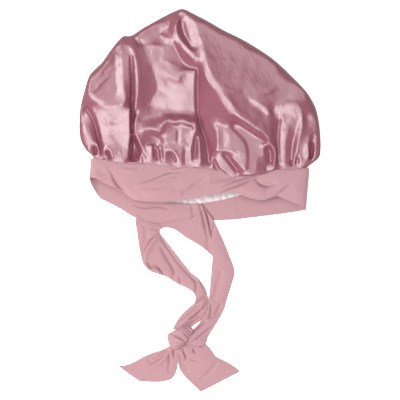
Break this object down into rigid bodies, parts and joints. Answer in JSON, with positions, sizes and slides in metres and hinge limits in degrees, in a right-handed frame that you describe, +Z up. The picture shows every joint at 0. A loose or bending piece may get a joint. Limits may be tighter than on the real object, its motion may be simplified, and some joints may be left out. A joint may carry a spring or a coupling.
{
  "type": "sleep bonnet",
  "caption": "sleep bonnet lying flat: a gathered satin crown on a knit band whose two long ends cross at the mouth and are knotted together",
  "frame": {"origin": "centre of the lying bonnet's outline, on the surface that it lies on", "axes": "+Z up from the surface, +Y from the knot towards the top of the crown, +X to the right as seen from above"},
  "size_m": [0.3002, 0.4771, 0.0483],
  "materials": {
    "rose_satin": "glossy woven satin",
    "pale_satin": "glossy pale satin",
    "rose_knit": "matte fine jersey knit"
  },
  "bodies": {
    "root": {"crown": "rose_satin", "lining": "pale_satin", "band": "rose_knit", "tie_right": "rose_knit", "tie_left": "rose_knit", "knot": "rose_knit", "tail_left": "rose_knit", "tail_right": "rose_knit"}
  },
  "joints": []
}
